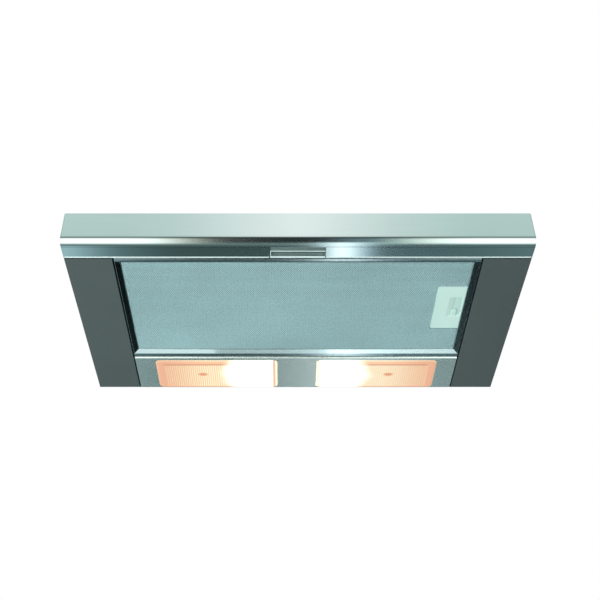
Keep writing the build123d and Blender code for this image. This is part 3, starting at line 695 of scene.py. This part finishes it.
def lamp_tray():
    """Lamp panel with a rolled front edge and an opening for each lamp."""
    roll = 3.0 * MM
    front = LAMP_LO.y + 2.8 * MM
    lap = 2.5 * MM                      # how far a cover reaches past its opening
    path = [(front, UNDER + 13 * MM)]
    path += arc(front + roll, UNDER + roll, roll, 180, 270, 10)
    hole_row = len(path)
    path += [(LENS_LO.y + lap, UNDER), (LENS_HI.y - lap, UNDER), (LAMP_HI.y, UNDER)]
    cuts = [LAMP_LO.x]
    for lo, hi in (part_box("lens_left"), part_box("lens_right")):
        cuts += [lo.x + lap, hi.x - lap]
    cuts.append(LAMP_HI.x)
    verts, faces = bent_plate(path, cuts, SHEET, lambda i, c: i == hole_row and c in (1, 3))
    obj = piece("lamp_tray", verts, faces, M["lamp_steel"], "hood_body", "lamp_steel",
                ["lamp_panel"])
    crisp(obj, 40)


# ---- latch --------------------------------------------------------------------------
WELL_LEFT, WELL_RIGHT = 207.0 * MM, 224.4 * MM
WELL_FRONT, WELL_REAR = FRONT + 117.0 * MM, FRONT + 159.6 * MM
WELL_DEEP = 3.2 * MM
WELL_FLOOR = 1.9 * MM               # faces above this take the darker plastic, painted shade deep in the well
THUMB_RIGHT = 220.0 * MM


def latch_plate():
    """Moulded plate with rounded left corners, a raised border and a dished thumb well."""
    x0, x1, y0, y1 = PLATE_LO.x, PLATE_HI.x, PLATE_LO.y, PLATE_HI.y
    z = PLATE_LO.z

    def loop(a0, a1, b0, b1, radius, height):
        return rounded_loop(a0, a1, b0, b1, radius * MM, z + height * MM, 5)

    def border(inset, radius, height):
        """A ring of the plate's edge, with square corners on the right."""
        gap = inset * MM
        ring = loop(x0 + gap, x1, y0 + gap, y1 - gap, radius, height)
        corner, middle = x1 - radius * MM, (y0 + y1) / 2
        return [(x, (y1 - gap if y > middle else y0 + gap) if x > corner + 1e-6 else y, h)
                for x, y, h in ring]

    def well(grow, radius, height, ramp=0.0):
        """A ring of the well; ramp slopes its left wall and, less, its rear one."""
        gap = grow * MM
        return loop(WELL_LEFT - gap + ramp * MM, WELL_RIGHT + gap, WELL_FRONT - gap,
                    WELL_REAR + gap - ramp * 0.4 * MM, radius, height)

    rows = [border(0, 3.6, 6.0), border(0, 3.6, 0.5), border(0.3, 3.5, 0.12),
            border(0.9, 3.2, 0.0), border(1.9, 2.6, 0.03), border(2.5, 2.4, 0.25)]
    rows += [well(0.9, 2.4, 0.25), well(0.3, 2.0, 0.4), well(-0.1, 1.8, 0.7, 1.5),
             well(-0.3, 1.6, 2.2, 6.0), well(-0.5, 1.2, WELL_DEEP / MM, 9.0)]
    verts, faces = skin(rows, cap=True)
    obj = piece("latch_body", verts, faces, M["pale_plastic"], "filter", "pale_plastic",
                ["latch_plate"])
    # the deep part of the well takes the darker copy: painted shade
    obj.data.materials.append(M["latch_recess"])
    for face in obj.data.polygons:
        x, y, height = face.center
        if height > z + WELL_FLOOR and WELL_LEFT < x and WELL_FRONT < y < WELL_REAR:
            face.material_index = 1
    crisp(obj, 50)


def latch_thumb():
    """Sliding catch in the well: a thumb pad with a ridge, an arm and the tongue."""
    lo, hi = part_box("latch_slider")
    y_rear = WELL_REAR - 1 * MM
    z = PLATE_LO.z
    rows = []
    for inset, height in ((0.0, 3.1), (0.0, 1.4), (0.5, 0.95), (1.3, 0.7)):
        gap = inset * MM
        rows.append(rounded_loop(lo.x + gap, THUMB_RIGHT - gap, y_rear - 14 * MM + gap,
                                 y_rear - gap, 1.0 * MM, z + height * MM, 3))
    verts, faces = skin(rows, cap=True)

    def box(bx0, bx1, by0, by1, bz0, bz1):
        base = len(verts)
        for bz in (bz0, bz1):
            verts.extend([(bx0, by0, bz), (bx1, by0, bz), (bx1, by1, bz), (bx0, by1, bz)])
        for f in ((0, 3, 2, 1), (4, 5, 6, 7), (0, 1, 5, 4), (1, 2, 6, 5), (2, 3, 7, 6),
                  (3, 0, 4, 7)):
            faces.append(tuple(base + i for i in f))

    # the arm, the tongue and the pad's ridge
    box(lo.x, THUMB_RIGHT, lo.y, y_rear, z + 3.4 * MM, z + 4.6 * MM)
    box(THUMB_RIGHT, hi.x, lo.y, lo.y + 9.2 * MM, z + 3.4 * MM, z + 4.6 * MM)
    box(lo.x + 0.8 * MM, THUMB_RIGHT - 0.8 * MM, y_rear - 8.2 * MM, y_rear - 7.2 * MM,
        z + 0.2 * MM, z + 0.8 * MM)
    obj = piece("latch_thumb", verts, faces, M["pale_plastic"], "latch", "pale_plastic",
                ["latch_slider"])
    crisp(obj, 40)


# ---- finger grip --------------------------------------------------------------------
def finger_grip():
    """Pressed pull: sloped lead-in, narrow rib, recess with end walls in darker steel (painted
    shade), bright edges (painted highlights).
    """
    z = UNDER
    y0 = GRIP_LO.y
    rib, lip = FRONT + 18 * MM, GRIP_HI.y
    roof = 5.6 * MM
    path = [(y0, z), (rib - 1.0 * MM, z + 2.0 * MM)]
    path += arc(rib + 0.3 * MM, z + 0.5 * MM, 0.5 * MM, 180, 360, 6)
    path += [(rib + 0.8 * MM, z + roof - 1.2 * MM), (rib + 2.0 * MM, z + roof),
             (lip - 2.6 * MM, z + roof), (lip - 1.6 * MM, z + roof - 1.0 * MM)]
    path += arc(lip - 0.8 * MM, z + 0.8 * MM, 0.8 * MM, 180, 360, 6)
    path += [(lip, z + 5 * MM)]
    half = GRIP_HI.x
    verts, faces = bent_plate(path, (-half, half), 0.4 * MM)
    # end walls, set back at the front so that the lead-in tapers
    outline = ((y0 + 3 * MM, z + 0.3 * MM), (rib, z + 0.1 * MM), (lip - 0.3 * MM, z + 0.1 * MM),
               (lip - 0.3 * MM, z + roof), (y0 + 3 * MM, z + roof))
    count = len(outline)
    for sign in (-1, 1):
        base = len(verts)
        for x in (sign * (half - 1.0 * MM), sign * half):
            verts.extend([(x, y, h) for y, h in outline])
        faces.append(tuple(base + i for i in range(count)))
        faces.append(tuple(base + count + i for i in range(count))[::-1])
        for i in range(count):
            j = (i + 1) % count
            faces.append((base + i, base + j, base + count + j, base + count + i))
    # darker steel here: painted shade in the recess
    obj = piece("grip_insert", verts, faces, M["grip"], "drawer", "brushed_steel",
                ["finger_grip"])
    crisp(obj, 40)
    height = z + 0.3 * MM
    beads("grip_rib", ((-half, half - 0.5 * MM),), rib + 0.4 * MM, height, 0.55 * MM)
    beads("grip_edge", ((rib, lip - 1.6 * MM),), -half + 0.55 * MM, height, 0.5 * MM, along="y")


# ---- housing ------------------------------------------------------------------------
TOP_LO, TOP_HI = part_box("housing_top")
SLOPE_LO, SLOPE_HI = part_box("housing_front")
DUCT_LO, DUCT_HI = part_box("outlet_collar")
DUCT_Y = (DUCT_LO.y + DUCT_HI.y) / 2
SLOPE_Z = 50 * MM                   # where the front sheet turns from upright to sloping
OUTLET_R = 59.5 * MM                # outside of the spigot
FLANGE_T, FLANGE_WIDTH = 0.8 * MM, 13 * MM
RIVET_TOP_Y = (0.0, 60 * MM, 120 * MM)
RIVET_REAR_Z = (25 * MM, 75 * MM, 125 * MM)
RIVET_FRONT_Z = (20 * MM, SLOPE_Z - 15 * MM)
RIVET_R, RIVET_H = 2.3 * MM, 1.0 * MM
SWAGE_WIDTH, SWAGE_HEIGHT = 9 * MM, 1.6 * MM


def rivets(spots):
    """Low round heads: spots are (centre, axis, sign), standing along the axis, y or z."""
    sides = 16
    turn = {"y": lambda a, b, h: (a, h, b), "z": lambda a, b, h: (a, b, h)}
    verts, faces = [], []
    rings = ((1.0, 0.0), (1.0, 0.25), (0.86, 0.62), (0.55, 0.9), (0.2, 1.0))
    for centre, axis, sign in spots:
        base = len(verts)
        for share, lift in rings:
            for k in range(sides):
                a = 2 * math.pi * k / sides
                local = turn[axis](RIVET_R * share * math.cos(a), RIVET_R * share * math.sin(a),
                                   RIVET_H * lift * sign)
                verts.append(tuple(c + d for c, d in zip(centre, local)))
        for r in range(len(rings) - 1):
            for k in range(sides):
                j = (k + 1) % sides
                q = base + r * sides
                faces.append((q + k, q + j, q + sides + j, q + sides + k))
        faces.append(tuple(base + (len(rings) - 1) * sides + k for k in range(sides)))
        faces.append(tuple(base + k for k in range(sides))[::-1])
    obj = piece("housing_rivets", verts, faces, M["rail_steel"], "hood_body", "rail_steel")
    crisp(obj, 50)


def housing_flanges():
    """Folded flanges of the end plates over the bent sheets, with their rivets."""
    t = FLANGE_T
    path = [(TOP_HI.y + t, 2 * MM), (TOP_HI.y + t, TOP_HI.z + t - 1.5 * MM)]
    path += [(TOP_HI.y + t - 1.5 * MM, TOP_HI.z + t), (TOP_LO.y - 0.3 * MM, TOP_HI.z + t)]
    path += [(SLOPE_LO.y - t, SLOPE_Z + 0.2 * MM), (SLOPE_LO.y - t, 2 * MM)]
    spots = []
    for side, name in ((-1, "left"), (1, "right")):
        outer = side * (TOP_HI.x + 0.6 * MM)
        inner = side * (TOP_HI.x - FLANGE_WIDTH)
        verts, faces = bent_plate(path, sorted((inner, outer)), t * 0.95)
        obj = piece(f"housing_flange_{name}", verts, faces, M["galvanised"], "hood_body",
                    "galvanised")
        crisp(obj, 20)
        x = side * (TOP_HI.x - FLANGE_WIDTH / 2)
        spots += [((x, y, TOP_HI.z + t), "z", 1) for y in RIVET_TOP_Y]
        spots += [((x, TOP_HI.y + t, z), "y", 1) for z in RIVET_REAR_Z]
        spots += [((x, SLOPE_LO.y - t, z), "y", -1) for z in RIVET_FRONT_Z]
    rivets(spots)


def swage(name, start, end, normal):
    """A pressed stiffening rib with rounded ends, from start to end on a flat sheet."""
    steps = 8
    a, b, normal = Vector(start), Vector(end), Vector(normal)
    along = (b - a).normalized()
    side = normal.cross(along)
    loops = []
    for share, lift in ((1.0, 0.0), (0.82, 0.28), (0.6, 0.7), (0.35, 0.95), (0.1, 1.0)):
        loop = []
        r = SWAGE_WIDTH / 2 * share
        for centre, first in ((b, -90), (a, 90)):
            for k in range(steps + 1):
                t = math.radians(first + 180 * k / steps)
                loop.append(centre + along * (r * math.cos(t)) + side * (r * math.sin(t))
                            + normal * SWAGE_HEIGHT * lift)
        loops.append(loop)
    crisp(piece(name, *skin(loops, cap=True), M["galvanised"], "hood_body", "galvanised"), 60)


def collar_rings():
    """Rolled rim, stop bead and foot of the outlet spigot."""
    foot, top = TOP_HI.z + 3 * MM, DUCT_HI.z
    # each section in mm: out from the spigot, up from its foot or its top
    sections = (
        ("spigot_foot", foot, ((0.05, 0), (2.2, 0), (1.0, 0.5), (0.3, 2.0), (0.05, 3))),
        ("spigot_bead", foot, ((0.05, 20), (0.9, 21), (1.2, 22), (0.9, 23), (0.05, 24))),
        ("spigot_rim", top, ((0.05, -2.6), (0.8, -2.2), (1.1, -1.4), (0.8, -0.5), (0.05, -0.1))),
    )
    sides = 96
    for name, start, section in sections:
        loops = []
        for out, up in section:
            r, z = OUTLET_R + out * MM, start + up * MM
            loops.append([(r * math.cos(2 * math.pi * k / sides),
                           DUCT_Y + r * math.sin(2 * math.pi * k / sides), z)
                          for k in range(sides)])
        crisp(piece(name, *skin(loops, close=True), M["black_plastic"], "hood_body",
                    "black_plastic"), 60)


def housing_details():
    """Rounded edges on the housing's sheets, with flanges, spigot rings and swages."""
    for name in ("housing_rear", "housing_top", "housing_front", "chassis_plate"):
        soften(frame["nodes"][name], 0.35 * MM)
    housing_flanges()
    collar_rings()
    z, y = TOP_HI.z, TOP_HI.y
    for i, x in enumerate((-118 * MM, 118 * MM)):
        swage(f"top_swage_{i}", (x, -15 * MM, z), (x, y - 30 * MM, z), (0, 0, 1))
    for i, height in enumerate((45 * MM, 100 * MM)):
        swage(f"rear_swage_{i}", (-150 * MM, y, height), (150 * MM, y, height), (0, 1, 0))


# ---- stage --------------------------------------------------------------------------
SIDE_REACH = 0.6                    # the bands' colours run from -SIDE_REACH to SIDE_REACH
WHITE = (0.95, 1.0, 0.98)


def window(n, value, a, b, c, d):
    """1 between b and c, falling smoothly to 0 at a and d."""
    return n.math("MULTIPLY", n.smooth(value, a, b), n.smooth(value, c, d, 1.0, 0.0))


def band(n, turn, limits, side, stops, strength):
    """A soft light: its colour along X from stops, faded in and out by the turn limits."""
    span = n.math("DIVIDE", n.math("ADD", side, SIDE_REACH), 2 * SIDE_REACH)
    colour = n.ramp(span, [((s + SIDE_REACH) / (2 * SIDE_REACH), c) for s, c in stops])
    return n.scale(colour, n.math("MULTIPLY", window(n, turn, *limits), strength))


def world():
    """Studio surround: white behind, soft boxes and dark gaps in what the steel reflects."""
    scene_world = bpy.data.worlds.new("studio")
    bpy.context.scene.world = scene_world
    scene_world.use_nodes = True
    tree = scene_world.node_tree
    tree.nodes.clear()
    n = Nodes(tree)
    out = n.add("ShaderNodeOutputWorld")
    coords = n.add("ShaderNodeTexCoord")
    split = n.add("ShaderNodeSeparateXYZ")
    n.link(coords.outputs["Generated"], split.inputs[0])
    x, y, z = split.outputs
    # turn: 0 is level towards the room, 90 up, -90 down, beyond that towards the wall
    turn = n.math("DEGREES", n.math("ARCTAN2", z, n.math("MULTIPLY", y, -1.0)))
    ground = n.ramp(n.math("DIVIDE", n.math("ADD", turn, 180.0), 360.0), [
        ((t + 180) / 360, c) for t, c in (
            (-180, (0.10, 0.17, 0.18)), (-158, (0.09, 0.145, 0.145)), (-138, (0.045, 0.075, 0.075)),
            (-112, (0.10, 0.15, 0.15)), (-84, (0.17, 0.25, 0.24)), (-60, (0.03, 0.045, 0.045)),
            (-38, (0.004, 0.007, 0.008)), (4, (0.03, 0.04, 0.04)), (60, (0.45, 0.50, 0.50)),
            (100, (0.85, 0.88, 0.88)), (150, (0.55, 0.60, 0.60)), (180, (0.16, 0.25, 0.25)))])
    lights = [
        ground,
        band(n, turn, (8, 27, 72, 105), x, (
            (-0.23, (0.42, 0.54, 0.51)), (-0.165, (0.41, 0.52, 0.49)), (-0.11, (0.49, 0.58, 0.55)),
            (-0.04, (0.76, 0.78, 0.76)), (0.015, (0.97, 0.95, 0.92)), (0.07, (0.76, 0.78, 0.76)),
            (0.135, (0.50, 0.59, 0.55)), (0.20, (0.37, 0.50, 0.46)), (0.27, (0.40, 0.51, 0.47))),
            0.92),
        band(n, turn, (-101, -54, -24, 16), x, (
            (-0.55, (0.20, 0.22, 0.22)), (-0.24, WHITE), (-0.15, WHITE),
            (-0.117, (0.52, 0.52, 0.47)), (-0.095, (0.18, 0.19, 0.16)),
            (-0.07, (0.02, 0.02, 0.02)), (0.05, (0.0, 0.0, 0.0)), (0.065, (0.09, 0.12, 0.14)),
            (0.10, (0.05, 0.09, 0.10)), (0.125, (0.24, 0.32, 0.30)), (0.16, (0.62, 0.68, 0.62)),
            (0.20, WHITE), (0.28, WHITE), (0.55, (0.20, 0.22, 0.22))),
            2.0),
        band(n, turn, (-178, -154, -124, -100), x, (
            (-0.225, (0.45, 0.64, 0.70)), (-0.205, (0.24, 0.36, 0.40)),
            (-0.175, (0.08, 0.13, 0.14)), (-0.12, (0.02, 0.03, 0.03)),
            (0.09, (0.01, 0.015, 0.015)), (0.12, (0.06, 0.09, 0.11)),
            (0.20, (0.06, 0.10, 0.11)), (0.27, (0.11, 0.17, 0.18))),
            1.0),
        band(n, turn, (-178, -160, -78, -48), x, (
            (0.035, (0.0, 0.0, 0.0)), (0.05, (0.35, 0.45, 0.50)), (0.060, (0.95, 1.0, 1.0)),
            (0.068, (0.95, 1.0, 1.0)), (0.08, (0.30, 0.42, 0.50)), (0.10, (0.0, 0.0, 0.0))),
            2.2),
    ]
    total = lights[0]
    for light in lights[1:]:
        total = n.sum(total, light)
    # black flags either side of the wall, which the drawer's side bevels reflect
    flag = n.math("MULTIPLY", window(n, n.math("ABSOLUTE", x), 0.275, 0.31, 0.85, 0.95),
                  window(n, z, -0.9, -0.8, 0.25, 0.45))
    flag = n.math("MULTIPLY", flag, n.smooth(y, 0.1, 0.3))
    total = n.scale(total, n.math("SUBTRACT", 1.0, n.math("MULTIPLY", flag, 0.98)))
    studio = n.add("ShaderNodeBackground")
    n.link(total, studio.inputs["Color"])
    white = n.add("ShaderNodeBackground")
    white.inputs["Color"].default_value = (1, 1, 1, 1)
    path = n.add("ShaderNodeLightPath")
    both = n.add("ShaderNodeMixShader")
    n.link(path.outputs["Is Camera Ray"], both.inputs[0])
    n.link(studio.outputs[0], both.inputs[1])
    n.link(white.outputs[0], both.inputs[2])
    n.link(both.outputs[0], out.inputs["Surface"])


def area_light(name, place, target, size, power, colour, glossy=False):
    """A rectangular light aimed at a target; glossy ones show in the steel."""
    data = bpy.data.lights.new(name, "AREA")
    data.shape = "RECTANGLE"
    data.size, data.size_y = size
    data.energy = power
    data.color = colour
    light = bpy.data.objects.new(name, data)
    light.location = place
    light.rotation_euler = (Vector(target) - Vector(place)).to_track_quat("-Z", "Y").to_euler()
    light.visible_camera = False
    light.visible_glossy = glossy
    bpy.context.collection.objects.link(light)
    return light


FLOOR_Z, FLOOR_HALF = -1.5, 4.0
REAR_CARDS = ((-0.30, -0.125, 0.11), (-0.125, 0.05, 0.05), (0.05, 0.30, 0.115))
CARD_DEPTH, CARD_Y, CARD_Z = 0.06, 0.075, -0.16


def stage():
    """Pale floor, soft fill lights and the cards that the drawer's rear bevel reflects."""
    world()
    mesh = bpy.data.meshes.new("floor")
    mesh.from_pydata([(x * FLOOR_HALF, y * FLOOR_HALF, FLOOR_Z)
                      for x, y in ((-1, -1), (1, -1), (1, 1), (-1, 1))], [], [(0, 1, 2, 3)])
    floor = bpy.data.objects.new("floor", mesh)
    bpy.context.collection.objects.link(floor)
    mesh.materials.append(surface("floor_paint", (0.85, 0.86, 0.86), 0.0, 0.6, variation=0.02))
    floor.visible_glossy = False
    area_light("under_fill", (-0.95, -0.7, -1.05), (0, 0, -0.05), (1.4, 1.0), 20,
               (0.93, 1.0, 0.98))
    for i, (x0, x1, brightness) in enumerate(REAR_CARDS):
        middle, width = (x0 + x1) / 2, x1 - x0
        card = area_light(f"rear_card_{i}", (middle, CARD_Y, CARD_Z), (middle, CARD_Y, 0),
                          (width, CARD_DEPTH), brightness * math.pi * width * CARD_DEPTH,
                          (0.90, 1.0, 1.0), glossy=True)
        card.data.spread = math.radians(60)
        card.visible_diffuse = False
    area_light("top_fill", (0, -0.2, 2.2), (0, 0, 0), (2.5, 2.5), 40, (1, 1, 1))


CAMERA_PITCH = 38.3                 # degrees upwards
CAMERA_AT = (-19.2 * MM, FRONT - 863.5 * MM, UNDER - 775 * MM)


def camera():
    """Below and in front of the hood, looking up at it."""
    data = bpy.data.cameras.new("camera")
    data.lens = 55.56
    data.sensor_width = 36.0
    data.shift_x = 0.0287
    data.clip_start = 0.01
    cam = bpy.data.objects.new("camera", data)
    cam.location = CAMERA_AT
    cam.rotation_euler = (math.radians(90 + CAMERA_PITCH), 0, 0)
    bpy.context.collection.objects.link(cam)
    bpy.context.scene.camera = cam


camera()
stage()
fascia()
hem()
filter_face()
drawer_pressing()
lamp_tray()
latch_plate()
latch_thumb()
finger_grip()
housing_details()
for name, side in (("left", -1), ("right", 1)):
    lens(name, side)
bpy.context.scene.view_settings.view_transform = "Standard"
